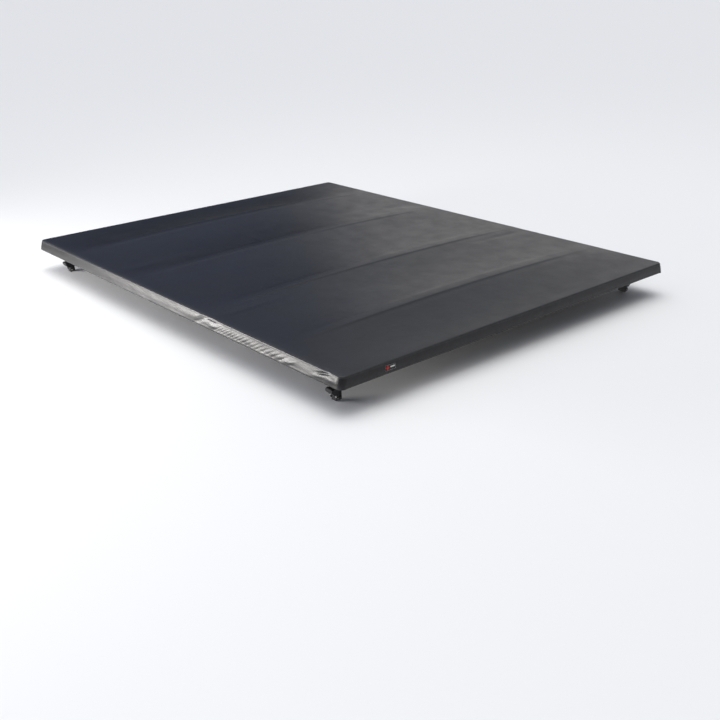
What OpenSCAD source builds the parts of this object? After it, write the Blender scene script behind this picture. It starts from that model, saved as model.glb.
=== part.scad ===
// Soft tri-fold cover for a pickup bed: three aluminium-framed panels under one vinyl skin,
// held to the bed's side rails by four cam clamps.
// X runs across the bed, Y points to the cab, Z is up. The origin is the middle of the cover
// at the height of the bed rails' top, so what hangs inside the bed is below zero.

/* [Cover] */
// Width over the vinyl
cover_w = 1640; // [1300:5:2000]
// Length from the tailgate face to the cab edge
cover_l = 2010; // [1600:5:2500]
// Height of the vinyl's side edge above the bed rails
cover_h = 43; // [38:1:56]
// Rise of the skin over the bows at mid width
crown = 18; // [8:1:24]
// Plan radius of the two tailgate corners
tail_corner_r = 22; // [12:1:40]
// Plan radius of the two cab corners
cab_corner_r = 18; // [8:1:40]

/* [Panels] */
// Extra length of the rear panel, which reaches over the tailgate
tail_extra = 36; // [0:2:60]
// Space between the rear and middle frames, spanned by vinyl
rear_gap = 50; // [44:1:80]
// Space between the middle and front frames, spanned by vinyl
front_gap = 104; // [102:2:150]
// From the end of the middle panel to the centre of the bow nearest to it
bow_inset = 54; // [48:1:120]

/* [Frame] */
// Width of a side rail
rail_w = 30; // [24:1:40]
// Width of the tailgate rail and the header rail
header_w = 36; // [30:1:44]
// Width of the cross rails beside the folds
end_rail_w = 24; // [18:1:30]
// Wall of the rail extrusions
rail_wall = 2.2; // [1.5:0.1:3]
// Width of the ledge inside each side rail
ledge_w = 16; // [14:1:20]
// Thickness of that ledge
ledge_t = 3; // [2:0.5:4]
// How far a corner key reaches into each rail
key_l = 22; // [14:1:40]
// Width of a bow along the bed
bow_w = 38; // [26:1:44]
// Depth of a bow's section
bow_d = 9; // [6:0.5:12]
// Wall of a bow's section
bow_wall = 1.8; // [1.2:0.1:2.5]
// Thickness of a bow's foot
foot_t = 12; // [8:1:13]

/* [Vinyl and seals] */
// Thickness of the laminated vinyl
vinyl_t = 1.6; // [1:0.1:2.5]
// Height of the flap's lower edge above the bed rails
flap_z = 4; // [2:0.5:6]
// How far the web at a fold comes down the side
web_drop = 24; // [12:1:30]
// Height of the foam seals
seal_h = 8; // [6:0.5:10]
// Width of the foam seals
seal_w = 20; // [14:1:22]

/* [Clamps] */
// From the tailgate or cab edge to the middle of a clamp
clamp_edge = 116; // [90:2:180]
// From the inner face of the side rail to the arm's pivot
clamp_reach = 36; // [34:1:50]
// Height of the arm's pivot above the bed rails
pivot_z = 22; // [20:0.5:26]
// Depth of the bed lip that the jaw grips
grip_depth = 43; // [36:1:60]
// Travel of the jaw when the lever opens
jaw_travel = 6; // [4:0.5:8]
// Angle of the lever when it is open
lever_open = 100; // [80:5:110]
// Width of the arm along the bed
arm_w = 20; // [16:1:26]
// Thickness of the arm
arm_t = 8; // [6:0.5:10]
// Radius of the arm's pivot pin
pivot_pin_r = 3; // [2.5:0.25:4]
// Radius of the lever's pin
lever_pin_r = 2.5; // [2:0.25:3]
// Length of the lever's handle from its pin
handle_l = 60; // [50:1:70]

/* [Trim] */
// Width of the sewn tag
tag_w = 45; // [30:1:60]
// Height of the sewn tag
tag_h = 20; // [12:1:24]
// From the left edge to the middle of the tag
tag_edge = 190; // [80:5:400]

/* [Hidden] */
$fn = 48;

// Clearances: between vinyl and frame, between a key and its rail, between moving faces,
// round a turning pin, and past the end of a cut.
skin_fit = 0.4;
key_fit = 0.15;
slide_fit = 0.3;
pin_fit = 0.05;
past = 1;

// Along the bed, measured from the middle
rear_y = -cover_l / 2;
cab_y = cover_l / 2;
panel_l = (cover_l - rear_gap - front_gap - tail_extra) / 3;
rear_end_y = rear_y + panel_l + tail_extra;
middle_rear_y = rear_end_y + rear_gap;
middle_front_y = middle_rear_y + panel_l;
front_end_y = middle_front_y + front_gap;
rear_bow_y = (rear_y + rear_end_y) / 2;
front_bow_y = (front_end_y + cab_y) / 2;
middle_bow_ys = [middle_rear_y + bow_inset, middle_front_y - bow_inset];

// Across the bed and upwards
half_w = cover_w / 2;
rail_out = half_w - vinyl_t - skin_fit;
rail_in = rail_out - rail_w;
rail_top = cover_h - vinyl_t - skin_fit;
rail_h = rail_top - seal_h;
ledge_top = seal_h + ledge_t;
clamp_x = rail_in - clamp_reach;
rear_clamp_y = rear_y + clamp_edge;
front_clamp_y = cab_y - clamp_edge;
left = -1;
right = 1;

alloy = [0.62, 0.63, 0.65];
dark_alloy = [0.2, 0.2, 0.21];
vinyl_black = [0.07, 0.07, 0.075];
rubber_black = [0.1, 0.1, 0.1];
plastic_black = [0.14, 0.14, 0.15];

// The skin: how far it rises at x, and how much of that rise it has at y
function rise(x) = crown * (1 - pow(x / half_w, 2));
function end_ramp(y) = min(1, (y - rear_y) / (rear_bow_y - bow_w / 2 - rear_y),
                           (cab_y - y) / (cab_y - front_bow_y - bow_w / 2));
function skin_z(x, y) = cover_h + rise(x) * end_ramp(y);

// A closed block under the skin's surface, lowered by drop, with a row of points at each y.
module skin_block(ys, w, drop, floor_z) {
    n = 16;
    m = len(ys);
    row = n + 3;
    pts = [for (y = ys) each concat(
        [for (i = [0:n]) let (x = -w + 2 * w * i / n) [x, y, skin_z(x, y) - drop]],
        [[w, y, floor_z], [-w, y, floor_z]])];
    strips = [for (j = [0:m - 2], i = [0:row - 1])
        let (a = j * row + i, b = j * row + (i + 1) % row)
            each [[a, a + row, b], [b, a + row, b + row]]];
    near = [[for (k = [0:row - 1]) (n + 2 + k) % row]];
    far = [[for (k = [0:row - 1]) (m - 1) * row + (n + 2 - k + row) % row]];
    polyhedron(points = pts, faces = concat(near, strips, far), convexity = 4);
}

// A plan outline with its two corners at y_round rounded off; y_round is one of its ends.
module plan(w, y_square, y_round, r) {
    s = sign(y_round - y_square);
    mid = y_round - s * r;
    y_lo = min(y_square, mid);
    translate([-w, y_lo]) square([2 * w, abs(mid - y_square)]);
    translate([-w + r, min(y_round, mid)]) square([2 * (w - r), r]);
    for (sx = [-1, 1]) translate([sx * (w - r), mid]) circle(r);
}

// A panel's skin whose ends at the cab or the tailgate turn down as a flap.
module end_panel_vinyl(fold_y, bow_y, end_y, r) {
    s = sign(end_y - fold_y);
    function along(a, b, c, d) = s > 0 ? [a, b, c, d] : [d, c, b, a];
    outer = along(fold_y, bow_y - s * bow_w / 2, bow_y + s * bow_w / 2, end_y);
    inner = along(fold_y - s * past, bow_y - s * bow_w / 2, bow_y + s * bow_w / 2, end_y);
    difference() {
        intersection() {
            skin_block(outer, half_w, 0, flap_z);
            translate([0, 0, flap_z - past]) linear_extrude(cover_h + crown + 2 * past)
                plan(half_w, fold_y - s * past, end_y, r);
        }
        intersection() {
            skin_block(inner, half_w, vinyl_t, flap_z - 2 * past);
            translate([0, 0, flap_z - 3 * past]) linear_extrude(cover_h + crown + 4 * past)
                plan(half_w - vinyl_t, fold_y - 2 * s * past, end_y - s * vinyl_t, r - vinyl_t);
        }
    }
}

// An open-ended length of skin between two folds.
module open_vinyl(y0, y1, w, floor_z) {
    difference() {
        skin_block([y0, y1], w, 0, floor_z);
        skin_block([y0 - past, y1 + past], w - vinyl_t, vinyl_t, floor_z - past);
    }
}

module front_panel_vinyl() {
    color(vinyl_black) end_panel_vinyl(front_end_y, front_bow_y, cab_y, cab_corner_r);
}

module rear_panel_vinyl() {
    color(vinyl_black) end_panel_vinyl(rear_end_y, rear_bow_y, rear_y, tail_corner_r);
}

module middle_panel_vinyl() {
    color(vinyl_black) open_vinyl(middle_rear_y, middle_front_y, half_w, flap_z);
}

module fold_web(y0, y1) {
    color(vinyl_black)
        open_vinyl(y0 + skin_fit, y1 - skin_fit, half_w - skin_fit, cover_h - web_drop);
}

// Lays a section drawn in X and Z along Y, from y0 to y1.
module along_bed(y0, y1) {
    translate([0, y1, 0]) rotate([90, 0, 0]) linear_extrude(y1 - y0) children();
}

// A side rail: a box section with the ledge that bows and brackets stand on.
module side_rail(side, y0, y1) {
    color(alloy) mirror([side == left ? 1 : 0, 0, 0]) along_bed(y0, y1) {
        difference() {
            translate([rail_in, seal_h]) square([rail_w, rail_h]);
            translate([rail_in + rail_wall, seal_h + rail_wall])
                square([rail_w - 2 * rail_wall, rail_h - 2 * rail_wall]);
        }
        translate([rail_in - ledge_w, seal_h]) square([ledge_w, ledge_t]);
    }
}

// A straight box rail across the bed, from y0 to y0 + w, between keys that reach key_w inwards.
module cross_rail(y0, w, key_w) {
    run = rail_out - key_w;
    color(alloy) translate([-run, y0, seal_h]) difference() {
        cube([2 * run, w, rail_h]);
        translate([-past, rail_wall, rail_wall])
            cube([2 * (run + past), w - 2 * rail_wall, rail_h - 2 * rail_wall]);
    }
}

// The moulded keys that join a panel's rails, in pairs. Each end lists its outer y, the
// direction into the panel, the width of its cross rail and the corner's radius.
module corner_keys(ends) {
    color(plastic_black) for (e = ends, side = [left, right])
        mirror([side == left ? 1 : 0, 0, 0]) corner_key(e[0], e[1], e[2], e[3]);
}

function key_w(r) = max(rail_w, r);
function key_run(w, r) = max(w, r);

module corner_key(y, into, w, r) {
    slack = rail_wall + key_fit;
    bx = rail_out - key_w(r);
    by = key_run(w, r);
    block_y = min(y, y + into * by);
    translate([0, 0, seal_h]) linear_extrude(rail_h) difference() {
        translate([bx, block_y]) square([key_w(r), by]);
        difference() {
            translate([rail_out - r, min(y - into * past, y + into * r)])
                square([r + past, r + past]);
            translate([rail_out - r, y + into * r]) circle(r);
        }
    }
    // Tongues into the side rail and into the cross rail
    translate([rail_in + slack, min(y + into * by, y + into * (by + key_l)), seal_h + slack])
        cube([rail_w - 2 * slack, key_l, rail_h - 2 * slack]);
    translate([bx - key_l, min(y, y + into * w) + slack, seal_h + slack])
        cube([key_l, w - 2 * slack, rail_h - 2 * slack]);
}

// A bow: an open-bottomed channel that follows the crown, with a foot on each ledge.
module bow(y) {
    n = 24;
    w = rail_in - slide_fit;
    function top(x) = skin_z(x, rear_bow_y) - vinyl_t - skin_fit;
    xs = [for (i = [0:n]) -w + 2 * w * i / n];
    color(alloy) {
        difference() {
            along_bed(y - bow_w / 2, y + bow_w / 2)
                polygon(concat([for (x = xs) [x, top(x)]],
                               [for (i = [n:-1:0]) [xs[i], top(xs[i]) - bow_d]]));
            along_bed(y - bow_w / 2 + bow_wall, y + bow_w / 2 - bow_wall)
                polygon(concat([for (x = xs) [x, top(x) - bow_wall]],
                               [for (i = [n:-1:0]) [xs[i], top(xs[i]) - bow_d - past]]));
        }
        for (s = [-1, 1])
            translate([s * (w - foot_t / 2) - foot_t / 2, y - bow_w / 2, ledge_top])
                cube([foot_t, bow_w, top(w) - bow_wall / 2 - ledge_top]);
    }
}

// A foam strip's section, flat below and rounded at its lower edges.
module seal_section() {
    r = 3;
    translate([-seal_w / 2, r]) square([seal_w, seal_h - r]);
    translate([-seal_w / 2 + r, 0]) square([seal_w - 2 * r, seal_h]);
    for (s = [-1, 1]) translate([s * (seal_w / 2 - r), r]) circle(r);
}

module side_seals(y0, y1) {
    color(rubber_black) for (s = [-1, 1])
        translate([s * (rail_in + rail_w / 2), 0, 0]) along_bed(y0, y1) seal_section();
}

module cross_seal(y) {
    run = rail_in + rail_w / 2 - seal_w / 2 - slide_fit;
    color(rubber_black) translate([-run, y, 0]) rotate([90, 0, 90])
        linear_extrude(2 * run) seal_section();
}

// A storage strap rolled into a flat loop against the header rail.
strap_x = 420;
strap_w = 25;
strap_t = 2;
loop_w = 70;
loop_h = 18;
strap_y = cab_y - vinyl_t - skin_fit - header_w;

module on_straps() {
    for (s = [-1, 1]) translate([s * strap_x, strap_y, seal_h + rail_h / 2]) children();
}

module racetrack(w, h) {
    square([w - h, h], center = true);
    for (s = [-1, 1]) translate([s * (w - h) / 2, 0]) circle(h / 2);
}

module stow_straps() {
    color(rubber_black) on_straps() rotate([90, 0, 0]) linear_extrude(strap_w) difference() {
        racetrack(loop_w, loop_h);
        racetrack(loop_w - 2 * strap_t, loop_h - 2 * strap_t);
    }
}

module strap_buckles() {
    buckle_h = 6;
    buckle_l = 36;
    side_bar = 3;
    end_bar = 6;
    slot_l = 8;
    color(plastic_black) on_straps() translate([0, -strap_w / 2, -loop_h / 2 - buckle_h])
        translate([-buckle_l / 2, -strap_w / 2, 0]) difference() {
            cube([buckle_l, strap_w, buckle_h]);
            for (x = [end_bar, buckle_l - end_bar - slot_l]) translate([x, side_bar, -past])
                cube([slot_l, strap_w - 2 * side_bar, buckle_h + 2 * past]);
        }
}

tag_t = 1;

module rear_tag() {
    color([0.7, 0.08, 0.08])
        translate([tag_edge - half_w - tag_w / 2, rear_y - tag_t, (cover_h + flap_z - tag_h) / 2])
            cube([tag_w, tag_t, tag_h]);
}

// Clamps. Each piece is drawn for the right side, with its pivot at x = 0 and +X outboard.
module at_clamp(side, y) {
    mirror([side == left ? 1 : 0, 0, 0]) translate([clamp_x, y, 0]) children();
}

// A cylinder along Y, centred, at x and z.
module across(x, z, r, l) {
    translate([x, 0, z]) rotate([90, 0, 0]) cylinder(r = r, h = l, center = true);
}

ear_t = 4;
ear_r = 9;
ear_y = arm_w / 2 + slide_fit;
plate_t = 4;
plate_y = 30;
screw_y = 23;
screw_z = pivot_z + 2;
screw_r = 2.5;
screw_head_r = 4.5;
screw_head_h = 2.5;
jaw_wall = 5;
jaw_h = 20;
pad_t = 3;
hook_l = 24;
jaw_top = -grip_depth - pad_t;
jaw_bottom = jaw_top - jaw_h;
cam_lift = 12;
cam_gap = 0.15;
cam_z = jaw_bottom - cam_gap - cam_lift;
cam_t = 5;
handle_t = 4;
handle_gap = 2;
arm_end = 9;
// Fall of the cam for each radian that the lever turns
cam_rate = jaw_travel / (lever_open * PI / 180);

module clamp_bracket(side, y) {
    plate_z = ledge_top + slide_fit;
    color(dark_alloy) at_clamp(side, y) difference() {
        union() {
            translate([clamp_reach - plate_t, -plate_y, plate_z])
                cube([plate_t, 2 * plate_y, rail_top - slide_fit - plate_z]);
            for (s = [-1, 1]) translate([0, s * (ear_y + ear_t / 2), 0]) {
                across(0, pivot_z, ear_r, ear_t);
                translate([0, -ear_t / 2, pivot_z - ear_r])
                    cube([clamp_reach - plate_t / 2, ear_t, 2 * ear_r]);
            }
        }
        across(0, pivot_z, pivot_pin_r, 3 * arm_w);
        for (s = [-1, 1]) translate([clamp_reach, s * screw_y, screw_z])
            rotate([0, 90, 0]) cylinder(r = screw_r, h = 3 * plate_t, center = true);
    }
}

module clamp_pins(y) {
    grip = 2 * (ear_y + ear_t);
    head = 2;
    color("silver") for (side = [left, right]) at_clamp(side, y) {
        across(0, pivot_z, pivot_pin_r, grip + head);
        translate([0, (grip + head) / 2, 0]) across(0, pivot_z, pivot_pin_r + head, head);
    }
}

// Pan-head screws through the bracket's plate, flush with the rail's inner wall.
module bracket_screws(y) {
    color("silver") for (side = [left, right], s = [-1, 1]) at_clamp(side, y)
        translate([clamp_reach - plate_t, s * screw_y, screw_z]) rotate([0, 90, 0]) {
            cylinder(r = screw_r, h = plate_t);
            translate([0, 0, -screw_head_h]) cylinder(r = screw_head_r, h = screw_head_h);
        }
}

module clamp_arm(side, y) {
    color(alloy) at_clamp(side, y) difference() {
        union() {
            across(0, pivot_z, ear_r, arm_w);
            translate([-arm_t / 2, -arm_w / 2, cam_z - arm_end])
                cube([arm_t, arm_w, pivot_z - cam_z + arm_end]);
        }
        across(0, pivot_z, pivot_pin_r + pin_fit, 3 * arm_w);
        across(0, cam_z, lever_pin_r, 3 * arm_w);
    }
}

module clamp_jaw(side, y) {
    in_x = arm_t / 2 + slide_fit;
    in_y = arm_w / 2 + slide_fit;
    color(dark_alloy) at_clamp(side, y) difference() {
        translate([-in_x - jaw_wall, -in_y - jaw_wall, jaw_bottom])
            cube([2 * in_x + jaw_wall + hook_l - in_x, 2 * (in_y + jaw_wall), jaw_h]);
        translate([-in_x, -in_y, jaw_bottom - past]) cube([2 * in_x, 2 * in_y, jaw_h + 2 * past]);
        // The hook's lower corner is cut back
        translate([hook_l + 2, 0, jaw_bottom]) rotate([0, 45, 0])
            cube([jaw_h, 3 * arm_w, jaw_h], center = true);
    }
}

module jaw_pad(side, y) {
    x0 = arm_t / 2 + jaw_wall;
    color(rubber_black) at_clamp(side, y)
        translate([x0, -arm_w / 2 - 3, jaw_top]) cube([hook_l - x0, arm_w + 6, pad_t]);
}

// The cam's edge falls in step with the angle under a flat jaw: an involute.
module cam_outline() {
    first = -25;
    last = lever_open + 20;
    function reach(a) = cam_lift - cam_rate * a * PI / 180;
    polygon(concat([[0, 0]], [for (a = [first:5:last])
        [reach(a) * sin(a) - cam_rate * cos(a), reach(a) * cos(a) + cam_rate * sin(a)]]));
    circle(reach(last));
}

module cam_lever(side, y) {
    in_y = arm_w / 2 + slide_fit + 0.1;
    back_x = -arm_t / 2 - slide_fit - jaw_wall - handle_gap;
    neck = lever_pin_r + 2;
    color(plastic_black) at_clamp(side, y) difference() {
        union() {
            for (s = [-1, 1]) translate([0, s * (in_y + cam_t / 2) + cam_t / 2, cam_z])
                rotate([90, 0, 0]) linear_extrude(cam_t) {
                    cam_outline();
                    translate([back_x, -neck]) square([-back_x, 2 * neck]);
                }
            translate([back_x - handle_t, -in_y - cam_t, cam_z - neck])
                cube([handle_t, 2 * (in_y + cam_t), handle_l + neck]);
        }
        across(0, cam_z, lever_pin_r + pin_fit, 3 * arm_w);
    }
}

module lever_pin(side, y) {
    color("silver") at_clamp(side, y)
        across(0, cam_z, lever_pin_r, arm_w + 2 * (slide_fit + cam_t + 1));
}

cab_frame_y = cab_y - vinyl_t - skin_fit;
tail_frame_y = rear_y + vinyl_t + skin_fit;
cab_key_r = cab_corner_r - vinyl_t - skin_fit;
tail_key_r = tail_corner_r - vinyl_t - skin_fit;
fold_key_r = 4;
front_rail_ys = [front_end_y + end_rail_w, cab_frame_y - key_run(header_w, cab_key_r)];
middle_rail_ys = [middle_rear_y + end_rail_w, middle_front_y - end_rail_w];
rear_rail_ys = [tail_frame_y + key_run(header_w, tail_key_r), rear_end_y - end_rail_w];

cross_rail(cab_frame_y - header_w, header_w, key_w(cab_key_r));  // header_rail
side_rail(left, front_rail_ys[0], front_rail_ys[1]);  // front_left_side_rail
side_rail(right, front_rail_ys[0], front_rail_ys[1]);  // front_right_side_rail
cross_rail(front_end_y, end_rail_w, rail_w);  // front_end_rail
bow(front_bow_y);  // front_bow
corner_keys([[cab_frame_y, -1, header_w, cab_key_r], [front_end_y, 1, end_rail_w, fold_key_r]]);  // front_corner_keys
cross_seal(cab_frame_y - header_w / 2);  // header_seal
side_seals(front_end_y + fold_key_r, cab_frame_y - cab_key_r);  // front_side_seals
front_panel_vinyl();
stow_straps();
strap_buckles();
side_rail(left, middle_rail_ys[0], middle_rail_ys[1]);  // middle_left_side_rail
side_rail(right, middle_rail_ys[0], middle_rail_ys[1]);  // middle_right_side_rail
cross_rail(middle_front_y - end_rail_w, end_rail_w, rail_w);  // middle_front_end_rail
cross_rail(middle_rear_y, end_rail_w, rail_w);  // middle_rear_end_rail
bow(middle_bow_ys[1]);  // middle_front_bow
bow(middle_bow_ys[0]);  // middle_rear_bow
corner_keys([[middle_front_y, -1, end_rail_w, fold_key_r], [middle_rear_y, 1, end_rail_w, fold_key_r]]);  // middle_corner_keys
side_seals(middle_rear_y + fold_key_r, middle_front_y - fold_key_r);  // middle_side_seals
middle_panel_vinyl();
fold_web(middle_front_y, front_end_y);  // front_fold_web
fold_web(rear_end_y, middle_rear_y);  // rear_fold_web
cross_rail(tail_frame_y, header_w, key_w(tail_key_r));  // tailgate_rail
side_rail(left, rear_rail_ys[0], rear_rail_ys[1]);  // rear_left_side_rail
side_rail(right, rear_rail_ys[0], rear_rail_ys[1]);  // rear_right_side_rail
cross_rail(rear_end_y - end_rail_w, end_rail_w, rail_w);  // rear_end_rail
bow(rear_bow_y);  // rear_bow
corner_keys([[rear_end_y, -1, end_rail_w, fold_key_r], [tail_frame_y, 1, header_w, tail_key_r]]);  // rear_corner_keys
cross_seal(tail_frame_y + header_w / 2);  // tailgate_seal
side_seals(tail_frame_y + tail_key_r, rear_end_y - fold_key_r);  // rear_side_seals
rear_panel_vinyl();
rear_tag();
clamp_pins(front_clamp_y);  // front_clamp_pins
clamp_pins(rear_clamp_y);  // rear_clamp_pins
bracket_screws(front_clamp_y);  // front_bracket_screws
bracket_screws(rear_clamp_y);  // rear_bracket_screws
clamp_bracket(left, front_clamp_y);  // front_left_clamp_bracket
clamp_arm(left, front_clamp_y);  // front_left_clamp_arm
clamp_jaw(left, front_clamp_y);  // front_left_clamp_jaw
jaw_pad(left, front_clamp_y);  // front_left_jaw_pad
cam_lever(left, front_clamp_y);  // front_left_cam_lever
lever_pin(left, front_clamp_y);  // front_left_lever_pin
clamp_bracket(right, front_clamp_y);  // front_right_clamp_bracket
clamp_arm(right, front_clamp_y);  // front_right_clamp_arm
clamp_jaw(right, front_clamp_y);  // front_right_clamp_jaw
jaw_pad(right, front_clamp_y);  // front_right_jaw_pad
cam_lever(right, front_clamp_y);  // front_right_cam_lever
lever_pin(right, front_clamp_y);  // front_right_lever_pin
clamp_bracket(left, rear_clamp_y);  // rear_left_clamp_bracket
clamp_arm(left, rear_clamp_y);  // rear_left_clamp_arm
clamp_jaw(left, rear_clamp_y);  // rear_left_clamp_jaw
jaw_pad(left, rear_clamp_y);  // rear_left_jaw_pad
cam_lever(left, rear_clamp_y);  // rear_left_cam_lever
lever_pin(left, rear_clamp_y);  // rear_left_lever_pin
clamp_bracket(right, rear_clamp_y);  // rear_right_clamp_bracket
clamp_arm(right, rear_clamp_y);  // rear_right_clamp_arm
clamp_jaw(right, rear_clamp_y);  // rear_right_clamp_jaw
jaw_pad(right, rear_clamp_y);  // rear_right_jaw_pad
cam_lever(right, rear_clamp_y);  // rear_right_cam_lever
lever_pin(right, rear_clamp_y);  // rear_right_lever_pin
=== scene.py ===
# Soft tri-fold bed cover: the vinyl skin, straps and tag are made here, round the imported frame.
import math
import random
import bpy
import numpy as np
from mathutils import Matrix, Vector, noise


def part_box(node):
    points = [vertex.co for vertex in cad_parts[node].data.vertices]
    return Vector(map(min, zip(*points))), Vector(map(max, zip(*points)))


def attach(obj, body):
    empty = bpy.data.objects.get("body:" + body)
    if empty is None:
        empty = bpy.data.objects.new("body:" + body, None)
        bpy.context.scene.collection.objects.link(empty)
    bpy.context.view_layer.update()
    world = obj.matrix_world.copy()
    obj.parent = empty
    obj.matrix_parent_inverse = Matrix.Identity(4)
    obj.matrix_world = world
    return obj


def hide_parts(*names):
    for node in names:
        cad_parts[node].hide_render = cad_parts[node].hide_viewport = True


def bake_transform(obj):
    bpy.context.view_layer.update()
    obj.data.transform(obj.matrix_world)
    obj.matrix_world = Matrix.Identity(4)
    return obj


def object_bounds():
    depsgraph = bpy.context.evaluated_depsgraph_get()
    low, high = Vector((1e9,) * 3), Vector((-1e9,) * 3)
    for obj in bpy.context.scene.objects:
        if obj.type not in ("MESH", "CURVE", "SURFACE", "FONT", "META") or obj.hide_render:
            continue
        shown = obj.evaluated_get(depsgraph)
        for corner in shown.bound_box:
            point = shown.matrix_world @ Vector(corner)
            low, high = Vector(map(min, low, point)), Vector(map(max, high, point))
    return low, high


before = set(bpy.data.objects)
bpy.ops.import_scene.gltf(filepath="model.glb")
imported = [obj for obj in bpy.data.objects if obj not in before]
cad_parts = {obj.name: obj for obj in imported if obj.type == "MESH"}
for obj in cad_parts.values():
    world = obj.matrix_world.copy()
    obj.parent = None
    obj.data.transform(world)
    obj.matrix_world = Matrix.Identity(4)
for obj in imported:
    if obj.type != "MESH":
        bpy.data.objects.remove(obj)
cadLow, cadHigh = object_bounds()
print("frame loaded:", len(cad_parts), "nodes")

# Places along the bed and up, all read from the frame
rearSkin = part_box("rear_panel_vinyl")
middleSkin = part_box("middle_panel_vinyl")
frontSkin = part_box("front_panel_vinyl")
halfWidth = rearSkin[1].x
tailY = rearSkin[0].y
cabY = frontSkin[1].y
skinTop = middleSkin[1].z
flapZ = middleSkin[0].z
rearFold = (rearSkin[1].y, middleSkin[0].y)
frontFold = (middleSkin[1].y, frontSkin[0].y)
bows = [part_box(n) for n in ("rear_bow", "middle_rear_bow", "middle_front_bow", "front_bow")]
bowYs = [(low.y + high.y) / 2 for low, high in bows]
bowHalf = (bows[0][1].y - bows[0][0].y) / 2
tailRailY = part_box("tailgate_rail")[1].y
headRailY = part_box("header_rail")[0].y


# ---- camera, floor and light ----

view = {
    "at": (-2.466, -2.934, 1.168),
    "azimuth": -39.706,
    "elevation": 22.830,
    "roll": -1.079,
    "lens": 48.26,
    "shift": (0.0417, 0.0),
}


def setCamera(v):
    a = math.radians(v["azimuth"])
    e = math.radians(v["elevation"])
    r = math.radians(v["roll"])
    back = Vector((math.sin(a) * math.cos(e), -math.cos(a) * math.cos(e), math.sin(e)))
    level = (-back).cross(Vector((0, 0, 1))).normalized()
    up = level.cross(-back)
    right = math.cos(r) * level + math.sin(r) * up
    top = -math.sin(r) * level + math.cos(r) * up
    turn = Matrix((right, top, back)).transposed().to_4x4()
    data = bpy.data.cameras.new("coverCamera")
    data.lens = v["lens"]
    data.shift_x, data.shift_y = v["shift"]
    data.clip_end = 600
    cam = bpy.data.objects.new("coverCamera", data)
    cam.matrix_world = Matrix.Translation(v["at"]) @ turn
    bpy.context.scene.collection.objects.link(cam)
    bpy.context.scene.camera = cam


setCamera(view)

studio = {
    "floorSize": 400.0,
    "floorGap": 0.0005,  # from the lowest point of the cover down to the floor
    "floorColour": (0.84, 0.84, 0.835, 1),
    # How bright the room is on the right and to the tailgate, as (sine of the height angle, colour)
    "litSide": [
        (0.00, (1.02, 1.00, 0.98)),
        (0.22, (0.87, 0.85, 0.84)),
        (0.32, (0.72, 0.72, 0.74)),
        (0.40, (0.60, 0.63, 0.72)),
        (0.58, (0.18, 0.21, 0.28)),
        (0.76, (0.50, 0.52, 0.55)),
        (1.00, (3.70, 3.70, 3.70)),
    ],
    # and towards the cab and the left
    "darkSide": [
        (0.25, (0.006, 0.008, 0.014)),
        (0.30, (0.050, 0.078, 0.150)),
        (0.36, (0.270, 0.360, 0.640)),
        (0.42, (0.380, 0.460, 0.700)),
        (0.76, (0.50, 0.52, 0.55)),
        (1.00, (3.70, 3.70, 3.70)),
    ],
    "skew": 0.85,  # how far the line between the two is turned towards the right
    "edge": (0.180, 0.245),  # where one gives way to the other, going round to the cab
    # and what share of it is left going round to the tailgate's side
    "byBack": [
        (0.00, (1.0, 1.0, 1.0)),
        (0.28, (0.42, 0.42, 0.43)),
    ],
    "backdrop": (0.80, 0.805, 0.815, 1),  # what stands behind the floor
    # name, place, what it points at, size, watts, colour
    "lamps": [
        ("overheadSoftbox", (0.6, 0.4, 4.0), (0, 0, 0), (4.0, 4.0), 22, (1, 1, 1)),
        ("leftSoftbox", (-3.0, 1.35, 0.25), (-0.9, -2.0, 0.02), (2.2, 0.5), 150, (1.0, 0.975, 0.95)),
    ],
}


def areaLight(name, at, aim, size, watts, colour):
    data = bpy.data.lights.new(name, "AREA")
    data.shape = "RECTANGLE"
    data.size, data.size_y = size
    data.energy = watts
    data.color = colour
    lamp = bpy.data.objects.new(name, data)
    lamp.location = at
    lamp.rotation_euler = (Vector(aim) - Vector(at)).to_track_quat("-Z", "Y").to_euler()
    bpy.context.scene.collection.objects.link(lamp)


def addNode(tree, kind, **given):
    node = tree.nodes.new(kind)
    for key, value in given.items():
        if hasattr(node, key):
            setattr(node, key, value)
        else:
            node.inputs[key].default_value = value
    return node


def rampOf(tree, stops, source):
    ramp = tree.nodes.new("ShaderNodeValToRGB")
    band = ramp.color_ramp.elements
    while len(band) < len(stops):
        band.new(0.5)
    for spot, (where, colour) in zip(band, stops):
        spot.position = where
        spot.color = (*colour, 1)
    tree.links.new(source, ramp.inputs["Fac"])
    return ramp.outputs["Color"]


def mathOf(tree, operation, a, b):
    node = addNode(tree, "ShaderNodeMath", operation=operation)
    for socket, value in zip(node.inputs, (a, b)):
        if isinstance(value, (int, float)):
            socket.default_value = value
        else:
            tree.links.new(value, socket)
    return node.outputs[0]


def blendColours(tree, amount, a, b, mode="MIX"):
    mix = addNode(tree, "ShaderNodeMix", data_type="RGBA", blend_type=mode)
    for socket, value in ((mix.inputs["Factor"], amount), (mix.inputs["A"], a), (mix.inputs["B"], b)):
        if isinstance(value, (int, float, tuple)):
            socket.default_value = value
        else:
            tree.links.new(value, socket)
    return mix.outputs["Result"]


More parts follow.
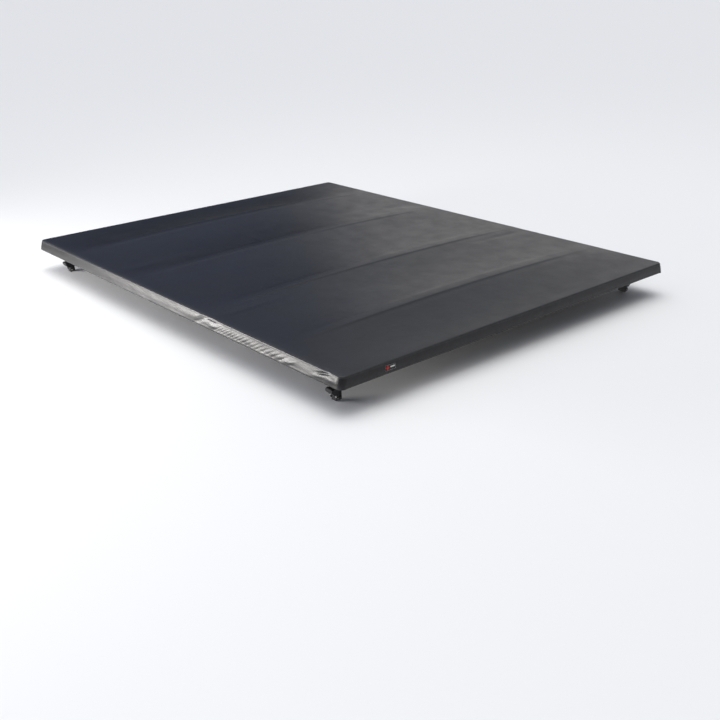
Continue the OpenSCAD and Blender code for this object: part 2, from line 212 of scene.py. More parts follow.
def setRoom(s):
    world = bpy.data.worlds.new("studioRoom")
    bpy.context.scene.world = world
    world.use_nodes = True
    tree = world.node_tree
    where = tree.nodes.new("ShaderNodeTexCoord").outputs["Generated"]
    parts = tree.nodes.new("ShaderNodeSeparateXYZ")
    tree.links.new(where, parts.inputs[0])
    lit = rampOf(tree, s["litSide"], parts.outputs["Z"])
    dark = rampOf(tree, s["darkSide"], parts.outputs["Z"])
    sideways = mathOf(tree, "MULTIPLY", parts.outputs["X"], s["skew"])
    towardCab = mathOf(tree, "SUBTRACT", parts.outputs["Y"], sideways)
    share = rampOf(tree, [(s["edge"][0], (0, 0, 0)), (s["edge"][1], (1, 1, 1))], towardCab)
    around = blendColours(tree, share, lit, dark)
    back = rampOf(tree, s["byBack"], mathOf(tree, "MULTIPLY", parts.outputs["Y"], -1))
    room = blendColours(tree, 1, around, back, "MULTIPLY")
    # The lights' pattern only reaches the object; looked at directly, the room is one pale tone
    direct = tree.nodes.new("ShaderNodeLightPath").outputs["Is Camera Ray"]
    seen = blendColours(tree, direct, room, s["backdrop"])
    tree.links.new(seen, tree.nodes["Background"].inputs["Color"])


def setFloor(s):
    half = s["floorSize"] / 2
    z = cadLow.z - s["floorGap"]
    corners = [(-half, -half, z), (half, -half, z), (half, half, z), (-half, half, z)]
    mesh = bpy.data.meshes.new("studioFloor")
    mesh.from_pydata(corners, [], [(0, 1, 2, 3)])
    floor = bpy.data.objects.new("studioFloor", mesh)
    bpy.context.scene.collection.objects.link(floor)
    paint = bpy.data.materials.new("paleFloor")
    paint.use_nodes = True
    shader = paint.node_tree.nodes["Principled BSDF"]
    shader.inputs["Base Color"].default_value = s["floorColour"]
    shader.inputs["Roughness"].default_value = 0.9
    shader.inputs["Specular IOR Level"].default_value = 0.1
    # Clear from underneath, so that the cover's inside can be seen from below
    tree = paint.node_tree
    clear = tree.nodes.new("ShaderNodeBsdfTransparent")
    pick = tree.nodes.new("ShaderNodeMixShader")
    tree.links.new(tree.nodes.new("ShaderNodeNewGeometry").outputs["Backfacing"], pick.inputs["Fac"])
    tree.links.new(shader.outputs[0], pick.inputs[1])
    tree.links.new(clear.outputs[0], pick.inputs[2])
    tree.links.new(pick.outputs[0], tree.nodes["Material Output"].inputs["Surface"])
    mesh.materials.append(paint)


setRoom(studio)
setFloor(studio)
for lampSetup in studio["lamps"]:
    areaLight(*lampSetup)
bpy.context.scene.view_settings.view_transform = "Standard"
print("studio set")


# ---- finishes ----

usualFac = (0.3, 0.7)  # where nearly all of a texture's values lie


def newFinish(name, rough, metal=0.0, specular=0.5):
    mat = bpy.data.materials.new(name)
    mat.use_nodes = True
    tree = mat.node_tree
    shader = tree.nodes["Principled BSDF"]
    shader.inputs["Roughness"].default_value = rough
    shader.inputs["Metallic"].default_value = metal
    shader.inputs["Specular IOR Level"].default_value = specular
    return mat, tree, shader


def objectCoords(tree, stretch=(1, 1, 1)):
    place = addNode(tree, "ShaderNodeMapping")
    place.inputs["Scale"].default_value = stretch
    tree.links.new(tree.nodes.new("ShaderNodeTexCoord").outputs["Object"], place.inputs["Vector"])
    return place.outputs["Vector"]


def cloud(tree, where, scale, detail=3.0, rough=0.55):
    n = addNode(tree, "ShaderNodeTexNoise", Scale=scale, Detail=detail, Roughness=rough)
    tree.links.new(where, n.inputs["Vector"])
    return n.outputs["Fac"]


def cells(tree, where, scale):
    n = addNode(tree, "ShaderNodeTexVoronoi", feature="F1", Scale=scale)
    tree.links.new(where, n.inputs["Vector"])
    return n.outputs["Distance"]


def ribs(tree, where, scale, direction="X"):
    n = addNode(tree, "ShaderNodeTexWave", bands_direction=direction, wave_profile="SIN", Scale=scale)
    tree.links.new(where, n.inputs["Vector"])
    return n.outputs["Fac"]


def bumps(tree, shader, heights):
    # heights: (height socket, strength, distance in metres), the coarsest first
    last = None
    for height, strength, distance in heights:
        b = addNode(tree, "ShaderNodeBump", Strength=strength, Distance=distance)
        tree.links.new(height, b.inputs["Height"])
        if last is not None:
            tree.links.new(last, b.inputs["Normal"])
        last = b.outputs["Normal"]
    tree.links.new(last, shader.inputs["Normal"])


def tint(tree, amount, low, high, into=None):
    colour = rampOf(tree, [(usualFac[0], low), (usualFac[1], high)], amount)
    if into is not None:
        tree.links.new(colour, into)
    return colour


def roughBy(tree, shader, amount, low, high):
    spread = addNode(tree, "ShaderNodeMapRange")
    spread.inputs["To Min"].default_value = low
    spread.inputs["To Max"].default_value = high
    spread.inputs["From Min"].default_value = usualFac[0]
    spread.inputs["From Max"].default_value = usualFac[1]
    tree.links.new(amount, spread.inputs["Value"])
    tree.links.new(spread.outputs["Result"], shader.inputs["Roughness"])


def grainedVinyl():
    mat, tree, shader = newFinish("grainedVinyl", 0.42, specular=0.22)
    where = objectCoords(tree)
    patches = cloud(tree, where, 5.0, 4)
    base = tint(tree, patches, (0.0056, 0.0058, 0.0066), (0.0080, 0.0081, 0.0088))
    # Greyer, noise-mottled colour on the edge turns, the lower flap walls and the hems: partly rubbed
    # wear, partly a painted highlight along the lit edge turn
    wearAndHighlight = addNode(tree, "ShaderNodeAttribute", attribute_name="wearAndHighlight")
    speckAndHighlight = mathOf(tree, "MULTIPLY", wearAndHighlight.outputs["Fac"], cloud(tree, where, 90.0, 5, 0.7))
    # Painted highlight and rubbed wear: the base is mixed towards a lighter grey where that weight is
    # high
    wornAndHighlit = blendColours(tree, speckAndHighlight, base, (0.055, 0.055, 0.058, 1))
    tree.links.new(wornAndHighlit, shader.inputs["Base Color"])
    roughBy(tree, shader, cloud(tree, where, 14.0, 5), 0.29, 0.37)
    pebble = cells(tree, where, 560.0)
    weave = mathOf(tree, "ADD", ribs(tree, where, 105.0, "X"), ribs(tree, where, 105.0, "Y"))
    bumps(tree, shader, [
        (cloud(tree, where, 38.0, 4), 0.22, 0.0012),
        (weave, 0.10, 0.0002),
        (pebble, 0.24, 0.0003),
    ])
    return mat


def wovenBacking():
    mat, tree, shader = newFinish("wovenBacking", 0.85, specular=0.25)
    where = objectCoords(tree)
    weave = mathOf(tree, "MULTIPLY", ribs(tree, where, 210.0, "X"), ribs(tree, where, 210.0, "Y"))
    lit = tint(tree, weave, (0.035, 0.036, 0.038), (0.085, 0.086, 0.09))
    stain = tint(tree, cloud(tree, where, 9.0), (0.5, 0.5, 0.5), (1, 1, 1))
    dull = blendColours(tree, 0.35, lit, stain, "MULTIPLY")
    tree.links.new(dull, shader.inputs["Base Color"])
    bumps(tree, shader, [(weave, 0.5, 0.0004)])
    return mat


def millAluminium():
    mat, tree, shader = newFinish("millAluminium", 0.36, metal=1.0)
    alongBed = cloud(tree, objectCoords(tree, (260, 5, 260)), 2.0, 3)
    acrossBed = cloud(tree, objectCoords(tree, (5, 260, 260)), 2.0, 3)
    lines = mathOf(tree, "MULTIPLY", mathOf(tree, "ADD", alongBed, acrossBed), 0.5)
    stain = cloud(tree, objectCoords(tree), 11.0, 4)
    tint(tree, stain, (0.50, 0.51, 0.53), (0.66, 0.67, 0.69), shader.inputs["Base Color"])
    roughBy(tree, shader, lines, 0.28, 0.46)
    bumps(tree, shader, [(lines, 0.18, 0.0003)])
    return mat


def darkAnodised():
    mat, tree, shader = newFinish("darkAnodised", 0.42, metal=0.85)
    where = objectCoords(tree)
    tint(tree, cloud(tree, where, 30.0, 4), (0.035, 0.035, 0.038), (0.060, 0.060, 0.064),
         shader.inputs["Base Color"])
    roughBy(tree, shader, cloud(tree, where, 220.0, 3), 0.36, 0.50)
    bumps(tree, shader, [(cloud(tree, where, 900.0, 2), 0.15, 0.0002)])
    return mat


def foamRubber():
    mat, tree, shader = newFinish("foamRubber", 0.9, specular=0.2)
    where = objectCoords(tree)
    pores = cells(tree, where, 700.0)
    tint(tree, pores, (0.010, 0.010, 0.010), (0.026, 0.026, 0.026), shader.inputs["Base Color"])
    bumps(tree, shader, [(cloud(tree, where, 60.0), 0.3, 0.001), (pores, 0.6, 0.0006)])
    return mat


def mouldedPlastic(name, low, high, rough):
    mat, tree, shader = newFinish(name, rough)
    where = objectCoords(tree)
    tint(tree, cloud(tree, where, 40.0, 3), low, high, shader.inputs["Base Color"])
    roughBy(tree, shader, cloud(tree, where, 120.0, 2), rough - 0.06, rough + 0.08)
    bumps(tree, shader, [(cells(tree, where, 1100.0), 0.35, 0.00025)])
    return mat


def zincSteel():
    mat, tree, shader = newFinish("zincSteel", 0.34, metal=1.0)
    where = objectCoords(tree)
    tint(tree, cloud(tree, where, 55.0, 4), (0.50, 0.50, 0.47), (0.66, 0.65, 0.60),
         shader.inputs["Base Color"])
    roughBy(tree, shader, cells(tree, where, 300.0), 0.26, 0.44)
    bumps(tree, shader, [(cells(tree, where, 260.0), 0.12, 0.0002)])
    return mat


def wovenWebbing():
    mat, tree, shader = newFinish("wovenWebbing", 0.8, specular=0.3)
    run = addNode(tree, "ShaderNodeUVMap", uv_map="strapRun").outputs["UV"]  # metres along and across
    herring = mathOf(tree, "MULTIPLY", ribs(tree, run, 150.0, "DIAGONAL"), 0.5)
    picks = mathOf(tree, "MULTIPLY", ribs(tree, run, 95.0, "X"), 0.5)
    weave = mathOf(tree, "ADD", herring, picks)
    tint(tree, weave, (0.010, 0.010, 0.011), (0.036, 0.036, 0.038), shader.inputs["Base Color"])
    bumps(tree, shader, [(weave, 0.7, 0.0005)])
    return mat


def labelCloth(name, low, high):
    mat, tree, shader = newFinish(name, 0.7, specular=0.3)
    where = objectCoords(tree)
    satin = mathOf(tree, "ADD", ribs(tree, where, 520.0, "X"), ribs(tree, where, 520.0, "Z"))
    tint(tree, mathOf(tree, "MULTIPLY", satin, 0.5), low, high, shader.inputs["Base Color"])
    bumps(tree, shader, [(satin, 0.4, 0.0002)])
    return mat


finishes = {
    "black_vinyl": grainedVinyl(),
    "mill_aluminium": millAluminium(),
    "dark_anodised": darkAnodised(),
    "black_foam_rubber": foamRubber(),
    "black_plastic": mouldedPlastic("blackPlastic", (0.018, 0.018, 0.019), (0.030, 0.030, 0.032), 0.46),
    "strap_webbing": wovenWebbing(),
    "zinc_steel": zincSteel(),
    "tag_label": labelCloth("tagRed", (0.40, 0.02, 0.02), (0.60, 0.04, 0.04)),
}
backing = wovenBacking()
tagWhite = labelCloth("tagWhite", (0.62, 0.62, 0.60), (0.80, 0.80, 0.78))
print("finishes made:", len(finishes))

# Which finish each kept frame node takes, by the words in its name
nodeFinish = (
    ("seal", "black_foam_rubber"),
    ("jaw_pad", "black_foam_rubber"),
    ("corner_keys", "black_plastic"),
    ("buckles", "black_plastic"),
    ("cam_lever", "black_plastic"),
    ("pin", "zinc_steel"),
    ("screws", "zinc_steel"),
    ("clamp", "dark_anodised"),
    ("rail", "mill_aluminium"),
    ("bow", "mill_aluminium"),
)
for nodeName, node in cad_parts.items():
    for word, finishName in nodeFinish:
        if word in nodeName:
            node.data.materials.clear()
            node.data.materials.append(finishes[finishName])
            break


# ---- the vinyl skin ----

skin = {
    "thick": 0.0016,
    "edgeZ": 0.043,  # height of the side edge
    "roll": 0.006,  # radius where the top turns down
    "tailCorner": 0.022,
    "cabCorner": 0.018,
    "spanSag": 0.0064,  # how far the vinyl hangs between bows
    "endSag": 0.0030,
    "crest": 0.0010,  # how far a bow stands out in the skin
    "crestRise": (0.030, 0.018),  # where the rise starts before the bow's middle, and its length
    "crestFall": (0.006, 0.056),  # the same for the fall towards the cab
    "crestFoot": (0.22, 0.036, 0.012),  # dip before the rise: share of the crest, place, width
    "foldValley": 0.0011,
    "flare": 0.0080,  # how far a side flap stands out at its hem
    "ripple": 0.00022,
    "gatherFrom": 0.016,  # spacing of the gathers near the fold
    "gatherTo": 0.034,  # and near the tailgate corner
    "gatherSpan": (0.185, 0.625),  # where they start and end, from the tailgate corner
    "gatherDepth": (0.0007, 0.0010),  # at the fold and at the corner
    "gatherLean": 0.060,  # how far a gather's foot lies nearer the cab than its top
    "bulge": 0.0009,  # how full the wall of a flap is
    "unevenness": 0.0007,
    "hemStep": 0.0003,  # how far the turned hem stands out
    "hemRadius": 0.0016,
    "hemTurn": 0.006,  # cloth turned in at each hem
    "hemWave": 0.0005,
    "pucker": (0.0095, 0.0005),  # pitch and depth of the puckers round a corner
    "column": 0.0150,  # mesh spacings: across the bed, along it, by the gathers and crests, at corners
    "row": 0.0085,
    "fineRow": 0.0031,
    "cornerStep": 0.0026,
    "crestSpot": (0.045, 0.030),  # finer rows before and after each bow's middle
    # Single folds of the side flaps: distance along the bed and height of the middle, half length,
    # half width, climb towards the tailgate, and how far it stands out
    "folds": [
        (-0.924, 0.0315, 0.030, 0.0034, 0.20, -0.0022),
        (-0.960, 0.0215, 0.022, 0.0100, 0.05, 0.0020),
        (-0.900, 0.0170, 0.030, 0.0060, 0.15, 0.0008),
        (-0.757, 0.0160, 0.024, 0.0052, 0.30, 0.0013),
        (-0.337, 0.0365, 0.034, 0.0030, 0.00, -0.0022),
        (-0.270, 0.0220, 0.045, 0.0065, 0.40, -0.0011),
        (-0.345, 0.0185, 0.021, 0.0070, 0.15, 0.0013),
        (-0.258, 0.0350, 0.030, 0.0040, 0.35, 0.0006),
    ],
    "seed": 11,
}
crown = skinTop - skin["edgeZ"]


def smooth(t):
    t = np.clip(t, 0, 1)
    return t * t * (3 - 2 * t)


def hump(d, width):
    return np.exp(-(d / width) ** 2)


def endRamp(y):
    tail = np.clip((y - tailRailY) / (bowYs[0] - bowHalf - tailRailY), 0, 1)
    cab = np.clip((headRailY - y) / (headRailY - bowYs[3] - bowHalf), 0, 1)
    t = np.minimum(tail, cab)
    return 0.8 * t + 0.2 * smooth(t)


def spanDip(y):
    # Hang of the vinyl between what holds it up, as a height in metres
    held = [tailRailY]
    for b in bowYs:
        held += [b - bowHalf, b + bowHalf]
    held.append(headRailY)
    dip = np.zeros_like(y)
    for i in range(0, len(held), 2):
        a, b = held[i], held[i + 1]
        t = np.clip((y - a) / (b - a), 0, 1)
        deep = skin["endSag"] if i in (0, len(held) - 2) else skin["spanSag"]
        dip += deep * 4 * t * (1 - t)
    return dip


def crestLine(y):
    # Each bow shows as a short rise on its tailgate side and a long fall towards the cab
    riseAt, riseRun = skin["crestRise"]
    fallAt, fallRun = skin["crestFall"]
    dip, dipAt, dipWide = skin["crestFoot"]
    line = np.zeros_like(y)
    for b in bowYs:
        d = y - b
        rise = smooth((d + riseAt) / riseRun)
        fall = 1 - smooth((d + fallAt) / fallRun)
        line += rise * fall - dip * hump(d + dipAt, dipWide)
    return line


def skinHeight(x, y):
    side = 1 - (x / halfWidth) ** 2
    z = skin["edgeZ"] + crown * side * endRamp(y)
    z = z - spanDip(y) * np.clip(side, 0, 1) ** 0.7
    fade = smooth((1 - np.abs(x) / halfWidth) / 0.42)
    z = z + skin["crest"] * crestLine(y) * fade
    # The folds show as shallow valleys near the sides, where the cross rails come up to the vinyl
    nearSide = smooth((np.abs(x) / halfWidth - 0.45) / 0.4) * np.clip(side * 4, 0, 1)
    for a, b in (rearFold, frontFold):
        z = z - skin["foldValley"] * nearSide * hump(y - (a + b) / 2, (b - a) * 0.35)
    return z


def ripple(x, y):
    # Slow unevenness of a stretched skin, still at its edges
    out = np.zeros(len(x))
    for i in range(len(x)):
        near = max(0.0, 1 - abs(x[i]) / halfWidth)
        hold = min(1.0, near / 0.10)
        slow = noise.noise(Vector((x[i] * 3.1, y[i] * 5.2, 3.7)))
        quick = noise.noise(Vector((x[i] * 9.0, y[i] * 14.0, 8.1)))
        out[i] = hold * (slow + 0.35 * quick)
    return out * skin["ripple"]


def finerNear(low, high, step, fine, spots):
    # Evenly spaced marks from low to high, closer together inside the spots (from, to)
    marks, at = [low], low
    while at < high - 1e-9:
        inside = any(a <= at < b for a, b in spots)
        at = min(high, at + (fine if inside else step))
        marks.append(at)
    if len(marks) > 2 and marks[-1] - marks[-2] < 0.4 * fine:
        marks.pop(-2)
    return np.array(marks)


def makeGathers(seed):
    # The grooves down one side of the rear panel, by their distance from the tailgate corner
    start, end = skin["gatherSpan"]
    draw = random.Random(seed)
    lines = [start]
    while lines[-1] < end:
        t = (lines[-1] - start) / (end - start)
        step = skin["gatherTo"] + (skin["gatherFrom"] - skin["gatherTo"]) * t
        lines.append(lines[-1] + step * draw.uniform(0.86, 1.14))
    return {"lines": lines, "power": [draw.uniform(0.7, 1.15) for _ in lines]}


def gatherHeight(gathers, s, t):
    # s: distance from the corner, t: 0 at the top edge and 1 at the hem
    lines = gathers["lines"]
    start, end = lines[0], lines[-1]
    at = s - skin["gatherLean"] * (t - 0.5)
    if at <= start or at >= end:
        return 0.0
    k = max(i for i, line in enumerate(lines) if line <= at)
    u = (at - lines[k]) / (lines[k + 1] - lines[k])
    far, near = skin["gatherDepth"]
    deep = near + (far - near) * (s - start) / (end - start)
    across = float(smooth(t / 0.45) * (0.10 + 0.90 * smooth((1 - t) / 0.30)))
    ends = float(smooth((at - start) / 0.05) * smooth((end - at) / 0.02))
    return deep * (math.sin(math.pi * u) ** 0.6 - 0.72) * gathers["power"][k] * across * ends


def singleFolds(y, z, side):
    # The few larger folds, laid a little differently on the two sides
    out = 0.0
    for i, (alongY, upZ, length, width, climb, height) in enumerate(skin["folds"]):
        shift = 0.0 if side < 0 else 0.010 * math.sin(2.1 * i + 1)
        run, up = alongY + shift - y, z - upZ
        size = math.hypot(1, climb)
        a = (run + climb * up) / size / length
        b = (up - climb * run) / size / width
        if a * a + b * b < 9:
            out += height * math.exp(-a * a - b * b)
    return out


def topGrid(openY, endY, corner, fineSpots):
    # The flat top: rows along the bed and columns across it, pulled in at the two round corners
    away = 1 if endY > openY else -1
    a = halfWidth - skin["roll"]
    endTop = endY - away * skin["roll"]
    inner = corner - skin["roll"]
    steps = 1 + max(4, round(inner / skin["cornerStep"]))
    bend = np.linspace(a - inner, a, steps)
    half = finerNear(0, a - inner, skin["column"], skin["column"], [])
    xs = np.concatenate([-bend[:0:-1], -half[:0:-1], half, bend[1:]])
    bendStart = endTop - away * inner
    low, high = sorted((openY, bendStart))
    run = finerNear(low, high, skin["row"], skin["fineRow"], fineSpots)
    turn = np.linspace(bendStart, endTop, steps)[1:]
    ys = np.concatenate([run, turn]) if away > 0 else np.concatenate([turn[::-1], run])
    x, y = np.meshgrid(xs, ys)
    u = np.abs(x) - (a - inner)
    v = (y - bendStart) * away
    inCorner = (u > 0) & (v > 0)
    pull = np.where(inCorner, np.maximum(u, v) / np.maximum(np.hypot(u, v), 1e-9), 1)
    x = np.where(inCorner, np.sign(x) * (a - inner + u * pull), x)
    y = np.where(inCorner, bendStart + away * v * pull, y)
    return x, y, bendStart


def edgeLoop(x, y, bendStart, corner, away):
    # The rim of the top from the left end of its open edge, round the closed end, to the right end:
    # (grid place, way out, distance along the side from the corner's bend, which side)
    rows, cols = x.shape
    fromOpen = list(range(rows)) if away > 0 else list(range(rows - 1, -1, -1))
    places = [(i, 0) for i in fromOpen]
    places += [(fromOpen[-1], j) for j in range(1, cols)]
    places += [(i, cols - 1) for i in reversed(fromOpen[:-1])]
    centreX = halfWidth - corner
    loop = []
    for i, j in places:
        px, py = x[i, j], y[i, j]
        side = -1 if px < 0 else 1
        u, v = abs(px) - centreX, (py - bendStart) * away
        if u > 1e-6 and v > 1e-6:
            out = Vector((side * u, away * v, 0)).normalized()
            s = -corner * math.atan2(v, u)
        elif abs(px) >= halfWidth - skin["roll"] - 1e-6:
            out = Vector((side, 0, 0))
            s = -v
        else:
            out = Vector((0, away, 0))
            s = -corner * math.pi / 2 - (centreX - abs(px))
        loop.append(((i, j), out, s, side))
    return loop


def flapPush(x, y, s, t, gathers, corner, tail):
    # How far the flap stands out from its plain wall
    arc = corner * math.pi / 2
    slack = 1 + 0.6 * noise.noise(Vector((x * 7, y * 7, 2.2)))
    push = skin["bulge"] * math.sin(math.pi * min(1, t)) * slack
    push += skin["unevenness"] * t * noise.noise(Vector((x * 11, y * 16, t * 1.5 + 5.0)))
    push += skin["hemStep"] * float(smooth((t - 0.76) / 0.12))
    push += skin["flare"] * t ** 1.15 * float(smooth((s + arc) / (0.6 * arc)))
    if tail and s > 0:
        push += gatherHeight(gathers, s, t)
    if -arc - 0.02 < s < 0.03:
        # Small puckers where the skin is eased round the corner
        pitch, depth = skin["pucker"]
        fade = float(smooth((s + arc + 0.02) / 0.02) * smooth((0.02 - s) / 0.02))
        wave = abs(math.sin(math.pi * (s + 0.35 * pitch * math.sin(4 * t)) / pitch))
        push += depth * (wave ** 0.7 - 0.4) * fade * min(1.0, t / 0.25)
    return push


def hemHeight(x, y):
    return flapZ + skin["hemWave"] * noise.noise(Vector((y * 6, x * 3, 9.4)))


def settle(obj, sharpAngle):
    # Makes the modifiers' result the piece's own mesh, with hard edges kept crisp
    depth = bpy.context.evaluated_depsgraph_get()
    mesh = bpy.data.meshes.new_from_object(obj.evaluated_get(depth))
    mesh.name = obj.name
    obj.modifiers.clear()
    obj.data = mesh
    mesh.shade_smooth()
    mesh.set_sharp_from_angle(angle=math.radians(sharpAngle))
    return obj


def buildSkin(name, openY, endY, corner, fineSpots):
    away = 1 if endY > openY else -1
    tail = away < 0
    x, y, bendStart = topGrid(openY, endY, corner, fineSpots)
    rows, cols = x.shape
    flatX, flatY = x.ravel(), y.ravel()
    z = skinHeight(flatX, flatY) + ripple(flatX, flatY)
    points = [Vector(p) for p in zip(flatX, flatY, z)]
    # Weight of the greyer colour, partly rubbed wear and partly a painted highlight, rising towards the
    # side edges of the top
    wearAndHighlight = list(0.12 + 0.5 * smooth(1 - (halfWidth - np.abs(flatX)) / 0.03))
    faces = [(i * cols + j, i * cols + j + 1, (i + 1) * cols + j + 1, (i + 1) * cols + j)
             for i in range(rows - 1) for j in range(cols - 1)]
    loop = edgeLoop(x, y, bendStart, corner, away)
    # The flap's section: the turn at the top edge, the wall, then the turned-in hem
    section = [("turn", math.radians(a)) for a in (15, 30, 45, 60, 75, 90)]
    section += [("wall", t) for t in np.linspace(0, 1, 20)[1:]]
    section += [("hem", math.radians(a)) for a in (40, 90, 140)]
    above = [i * cols + j for (i, j), _, _, _ in loop]
    for kind, value in section:
        below = []
        for place, out, s, side in loop:
            top = points[place[0] * cols + place[1]]
            hemZ = hemHeight(top.x, top.y)
            wallTop = top.z - skin["roll"]
            t = value if kind == "wall" else (0.0 if kind == "turn" else 1.0)
            gathers = leftGathers if side < 0 else rightGathers
            push = flapPush(top.x, top.y, s, t, gathers, corner, tail)
            if abs(out.x) > 0.5:
                push += singleFolds(top.y, wallTop + (hemZ - wallTop) * t, side)
            if kind == "turn":
                reach = skin["roll"] * math.sin(value) + push * math.sin(value)
                pz = top.z - skin["roll"] * (1 - math.cos(value))
            elif kind == "wall":
                reach = skin["roll"] + push
                pz = wallTop + (hemZ - wallTop) * value
            else:
                reach = skin["roll"] + push - skin["hemRadius"] * (1 - math.cos(value))
                pz = hemZ - skin["hemRadius"] * math.sin(value)
            below.append(len(points))
            points.append(Vector((top.x + out.x * reach, top.y + out.y * reach, pz)))
            # On the flap the weight is full on the edge turn, where the painted highlight lies, high on
            # the hems and rising down the wall
            wearAndHighlight.append(1.0 if kind == "turn" else 0.75 if kind == "hem" else 0.35 + 0.5 * t ** 3)
        for k in range(len(loop) - 1):
            quad = (above[k], below[k], below[k + 1], above[k + 1])
            faces.append(quad if tail else quad[::-1])
        above = below
    mesh = bpy.data.meshes.new(name)
    mesh.from_pydata([tuple(p) for p in points], [], faces)
    mesh.validate()
    # Stored for the vinyl's painted highlight and rubbed wear
    marks = mesh.attributes.new("wearAndHighlight", "FLOAT", "POINT")
    marks.data.foreach_set("value", np.array(wearAndHighlight, np.float32))
    mesh.shade_smooth()
    obj = bpy.data.objects.new(name, mesh)
    bpy.context.scene.collection.objects.link(obj)
    mesh.materials.append(finishes["black_vinyl"])
    mesh.materials.append(backing)
    shell = obj.modifiers.new("sheetThickness", "SOLIDIFY")
    shell.thickness = skin["thick"]
    shell.offset = -1
    shell.material_offset = 1
    shell.material_offset_rim = 0
    return settle(obj, 50)


seamY = bowYs[1] - bowHalf  # the skin's two lengths meet at this bow's tailgate edge
crestSpots = [(b - skin["crestSpot"][0], b + skin["crestSpot"][1]) for b in bowYs]
leftGathers = makeGathers(skin["seed"])
rightGathers = makeGathers(skin["seed"] + 1)
rearLength = buildSkin("rearSkin", seamY, tailY, skin["tailCorner"], [(tailY, seamY)])
frontLength = buildSkin("frontSkin", seamY, cabY, skin["cabCorner"], crestSpots)
for piece, nodes in (
    (rearLength, ("rear_panel_vinyl", "rear_fold_web")),
    (frontLength, ("middle_panel_vinyl", "front_fold_web", "front_panel_vinyl")),
):
    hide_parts(*nodes)
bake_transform(rearLength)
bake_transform(frontLength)
print("skin made:", len(rearLength.data.polygons) + len(frontLength.data.polygons), "faces")


# ---- sewn tag on the tailgate side ----

tag = {
    "corner": 0.003,
    "thick": 0.0009,
    "gap": 0.0004,  # between the tag's cloth and the skin
    "stitch": 0.0022,
    "stitchPitch": 0.0034,
    "stitchInset": 0.0030,  # off the tag's width and height
    "threadRadius": 0.00032,
    # The diamond's outline, then the bar's width, height and corner, and where the two sit
    "diamond": [
        (0.0072, 0), (0.0036, 0.0040), (0, 0.0078), (-0.0036, 0.0040),
        (-0.0072, 0), (-0.0036, -0.0040), (0, -0.0078), (0.0036, -0.0040),
    ],
    "bar": (0.0190, 0.0046, 0.0020),
    "diamondAt": (-0.0115, 0, 0),
    "barAt": (0.0085, 0, 0.001),
}


def roundedPlate(width, height, radius, steps=5):
    spots = []
    for cx, cy, a0 in ((1, 1, 0), (-1, 1, 90), (-1, -1, 180), (1, -1, 270)):
        for k in range(steps + 1):
            a = math.radians(a0 + 90 * k / steps)
            spots.append((cx * (width / 2 - radius) + radius * math.cos(a),
                          cy * (height / 2 - radius) + radius * math.sin(a)))
    return spots


def patch(name, outline, centre, depth, thick, finish, domed=0.0):
    # A cloth patch facing the tailgate: its outline in x and z, a rounded edge, a slightly full middle
    rings = [(1.0, 0.0), (1.0, thick * 0.6), (0.985, thick * 0.9), (0.95, thick),
             (0.6, thick + domed * 0.7), (0.25, thick + domed)]
    points, faces = [], []
    n = len(outline)
    for scale, lift in rings:
        for px, pz in outline:
            points.append((centre.x + px * scale, centre.y - depth - lift, centre.z + pz * scale))
    for r in range(len(rings) - 1):
        for k in range(n):
            a, b = r * n + k, r * n + (k + 1) % n
            faces.append((a, a + n, b + n, b))
    faces.append(tuple(range(n)))
    faces.append(tuple(range(len(points) - 1, len(points) - 1 - n, -1)))
    mesh = bpy.data.meshes.new(name)
    mesh.from_pydata(points, [], faces)
    mesh.validate()
    mesh.shade_smooth()
    mesh.materials.append(finish)
    obj = bpy.data.objects.new(name, mesh)
    bpy.context.scene.collection.objects.link(obj)
    return obj


tagLow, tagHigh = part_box("rear_tag")
tagCentre = (tagLow + tagHigh) / 2
tagSize = tagHigh - tagLow
tagFace = Vector((tagCentre.x, tagHigh.y, tagCentre.z))
tagCloth = labelCloth("tagGround", (0.010, 0.010, 0.011), (0.024, 0.024, 0.026))
ground = patch("tagGround", roundedPlate(tagSize.x, tagSize.z, tag["corner"]), tagFace,
               tag["gap"], tag["thick"], tagCloth)
badge = patch("tagDiamond", tag["diamond"], tagFace + Vector(tag["diamondAt"]),
              tag["gap"] + tag["thick"], 0.0005, finishes["tag_label"], 0.0003)
bar = patch("tagBar", roundedPlate(*tag["bar"]), tagFace + Vector(tag["barAt"]),
            tag["gap"] + tag["thick"], 0.0004, tagWhite, 0.0002)


def runOfStitches(name, path, pitch, length, radius, finish):
    # Short rounded threads laid end to end along a closed path on the tag
    points, faces = [], []
    total = sum((b - a).length for a, b in zip(path, path[1:] + path[:1]))
    count = int(total / pitch)
    for k in range(count):
        at = total * k / count
        for a, b in zip(path, path[1:] + path[:1]):
            span = (b - a).length
            if at <= span:
                break
            at -= span
        way = (b - a).normalized()
        middle = a + way * at
        across = way.cross(Vector((0, 1, 0)))
        base = len(points)
        for u, r in ((-0.5, 0.25), (-0.3, 0.9), (0, 1.0), (0.3, 0.9), (0.5, 0.25)):
            for c in range(6):
                turn = math.radians(60 * c)
                points.append(tuple(middle + way * (u * length) + across * (r * radius * math.cos(turn))
                                    + Vector((0, -r * radius * math.sin(turn), 0))))
        for ring in range(4):
            for c in range(6):
                p, q = base + ring * 6 + c, base + ring * 6 + (c + 1) % 6
                faces.append((p, q, q + 6, p + 6))
        faces.append(tuple(base + c for c in range(5, -1, -1)))
        faces.append(tuple(base + 24 + c for c in range(6)))
    mesh = bpy.data.meshes.new(name)
    mesh.from_pydata(points, [], faces)
    mesh.validate()
    mesh.shade_smooth()
    mesh.materials.append(finish)
    obj = bpy.data.objects.new(name, mesh)
    bpy.context.scene.collection.objects.link(obj)
    return obj


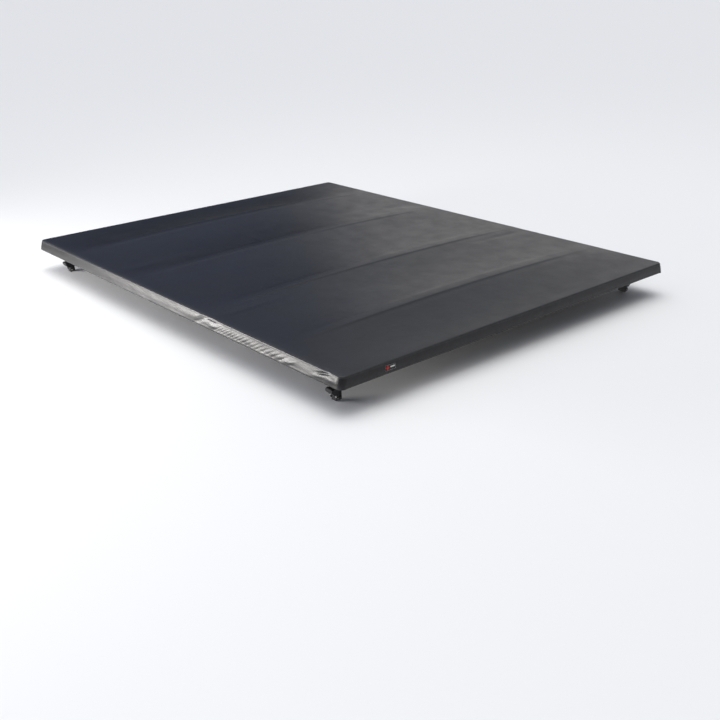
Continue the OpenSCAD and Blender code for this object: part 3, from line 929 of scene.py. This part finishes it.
stitchPath = roundedPlate(tagSize.x - tag["stitchInset"], tagSize.z - tag["stitchInset"], 0.0020, 3)
hemLine = [Vector((tagFace.x + px, tagFace.y - tag["gap"] - tag["thick"], tagFace.z + pz))
           for px, pz in stitchPath]
tagStitches = runOfStitches("tagStitches", hemLine, tag["stitchPitch"], tag["stitch"],
                            tag["threadRadius"], tagWhite)
for piece in (ground, badge, bar, tagStitches):
    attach(piece, "rear_panel")
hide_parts("rear_tag")
print("tag made")


# ---- storage straps, rolled up under the header rail ----

strap = {
    "width": 0.025,
    "thick": 0.0013,
    "loop": (0.070, 0.018),
    "turns": 2.6,
    "step": 0.0021,  # from one turn to the next
    "marksPerTurn": 44,
    "crimp": 0.0002,  # unevenness of the webbing's edge
}


def rolledStrap(name, centre, front, s):
    # A flat loop wound inwards: each turn lies just inside the one before
    w, h = s["loop"]
    perTurn = s["marksPerTurn"]
    count = int(perTurn * s["turns"])
    line = []
    for k in range(count + 1):
        turn = k / perTurn
        inset = s["thick"] / 2 + s["step"] * turn
        r = h / 2 - inset
        straight = (w - h) / 2
        lap = 4 * straight + 2 * math.pi * r
        d = (turn % 1.0) * lap
        if d < 2 * straight:
            line.append(Vector((straight - d, 0, -r)))
        elif d < 2 * straight + math.pi * r:
            a = (d - 2 * straight) / r
            line.append(Vector((-straight - r * math.sin(a), 0, -r * math.cos(a))))
        elif d < 4 * straight + math.pi * r:
            line.append(Vector((-straight + (d - 2 * straight - math.pi * r), 0, r)))
        else:
            a = (d - 4 * straight - math.pi * r) / r
            line.append(Vector((straight + r * math.sin(a), 0, r * math.cos(a))))
    across = [-0.5, -0.47, -0.3, 0, 0.3, 0.47, 0.5]
    points, faces, uvs = [], [], []
    along = 0.0
    for k, spot in enumerate(line):
        if k:
            along += (spot - line[k - 1]).length
        for c in across:
            crimp = s["crimp"] * math.sin(along * 260 + c * 5)
            points.append((centre.x + spot.x, front - s["width"] * (0.5 - c) + crimp, centre.z + spot.z))
            uvs.append((along, s["width"] * (c + 0.5)))
    n = len(across)
    for k in range(len(line) - 1):
        for c in range(n - 1):
            a = k * n + c
            faces.append((a, a + n, a + n + 1, a + 1))
    mesh = bpy.data.meshes.new(name)
    mesh.from_pydata(points, [], faces)
    mesh.validate()
    layer = mesh.uv_layers.new(name="strapRun")
    for corner in mesh.loops:
        layer.data[corner.index].uv = uvs[corner.vertex_index]
    mesh.shade_smooth()
    mesh.materials.append(finishes["strap_webbing"])
    obj = bpy.data.objects.new(name, mesh)
    bpy.context.scene.collection.objects.link(obj)
    shell = obj.modifiers.new("webbingThickness", "SOLIDIFY")
    shell.thickness = s["thick"]
    shell.offset = 0
    return obj, along


strapLow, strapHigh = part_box("stow_straps")
for side, word in ((-1, "Left"), (1, "Right")):
    middle = Vector((side * (strapHigh.x - strap["loop"][0] / 2), 0, (strapLow.z + strapHigh.z) / 2))
    piece, run = rolledStrap("stowStrap" + word, middle, strapHigh.y, strap)
    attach(piece, "front_panel")
    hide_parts("stow_straps")
print("straps made")
